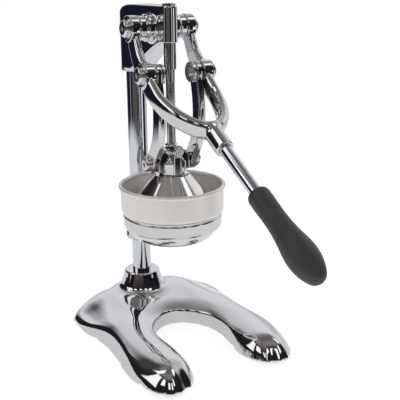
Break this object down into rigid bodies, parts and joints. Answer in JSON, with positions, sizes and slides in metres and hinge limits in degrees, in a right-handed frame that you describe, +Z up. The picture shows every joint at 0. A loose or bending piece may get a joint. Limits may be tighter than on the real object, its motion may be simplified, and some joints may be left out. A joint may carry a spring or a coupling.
{
  "type": "citrus press juicer",
  "caption": "Hand-lever citrus press: forked lever and links drive a cone down into a strainer cup held on a column above an open-fronted cast base.",
  "frame": {"origin": "bottom centre of the press's bounding box with the lever down: on the surface it stands on, on the mid plane, between the column and the cup", "axes": "+Z up along the column; -Y towards the front, where the handle points; +X to the right seen from the front, across the fork and the base's paws"},
  "size_m": [0.1974, 0.3901, 0.3815],
  "materials": {
    "cast_chrome": "mirror chrome plate on a polished casting, with faint unevenness of the hand-polished metal below",
    "bar_chrome": "mirror chrome plate on ground round bar",
    "bolt_chrome": "bright plated fasteners and washers",
    "rod_steel": "ground steel rod, fine turning marks",
    "zinc_steel": "zinc-plated nuts, washers and screws",
    "black_steel": "black oxide grub screws",
    "satin_steel": "satin stainless sheet brushed round the cup",
    "polished_steel": "polished stainless sheet",
    "bronze": "sintered bronze bush",
    "rubber": "matte black rubber",
    "grip": "matte dark grey soft grip with a fine moulded grain"
  },
  "bodies": {
    "frame": {"base": "cast_chrome", "rubber_feet": "rubber", "foot_screws": "zinc_steel", "column": "bar_chrome", "column_washer": "zinc_steel", "column_nut": "zinc_steel", "head": "cast_chrome", "head_set_screws": "black_steel", "guide_bush": "rod_steel", "shaft_bushes": "bronze", "cup_holder": "cast_chrome", "holder_set_screw": "black_steel", "juice_bowl": "polished_steel"},
    "strainer": {"strainer_cup": "satin_steel", "reamer": "satin_steel"},
    "lever": {"yoke": "cast_chrome", "handle_rod": "bar_chrome", "handle_grip": "grip", "pivot_shaft": "rod_steel", "shaft_bolts": "bolt_chrome", "shaft_washers": "bolt_chrome", "upper_link_bolts": "bolt_chrome", "upper_link_washers": "bolt_chrome", "link_caps": "bolt_chrome", "cap_screws": "bolt_chrome"},
    "link_left": {"link_left": "cast_chrome", "lower_bolt_left": "bolt_chrome", "lower_washer_left": "bolt_chrome"},
    "link_right": {"link_right": "cast_chrome", "lower_bolt_right": "bolt_chrome", "lower_washer_right": "bolt_chrome"},
    "ram": {"ram_rod": "rod_steel", "crosshead": "cast_chrome", "crosshead_screw": "bolt_chrome", "pivot_studs": "bolt_chrome", "press_cone": "polished_steel", "cone_washer": "zinc_steel", "cone_nut": "zinc_steel"}
  },
  "joints": [
    {"name": "lever_pivot", "type": "hinge", "parent": "frame", "child": "lever", "pos_m": [0, 0.09219, 0.3555], "axis": [-1, 0, 0], "range_deg": [0, 85]},
    {"name": "ram_slide", "type": "slide", "parent": "frame", "child": "ram", "axis": [0, 0, 1], "range_m": [0, 0.07908]},
    {"name": "link_left_pivot", "type": "hinge", "parent": "lever", "child": "link_left", "pos_m": [-0.0241, 0.0572, 0.31], "axis": [-1, 0, 0], "range_deg": [-93, 0]},
    {"name": "link_right_pivot", "type": "hinge", "parent": "lever", "child": "link_right", "pos_m": [0.0241, 0.0572, 0.31], "axis": [-1, 0, 0], "range_deg": [-93, 0]},
    {"name": "strainer_lift", "type": "slide", "parent": "frame", "child": "strainer", "axis": [0, 0, 1], "range_m": [0, 0.005]}
  ],
  "couplings": [
    {"joint": "ram_slide", "follows": "lever_pivot", "m_per_rad": 0.053273},
    {"joint": "link_left_pivot", "follows": "lever_pivot", "ratio": -1.0927},
    {"joint": "link_right_pivot", "follows": "lever_pivot", "ratio": -1.0927}
  ]
}
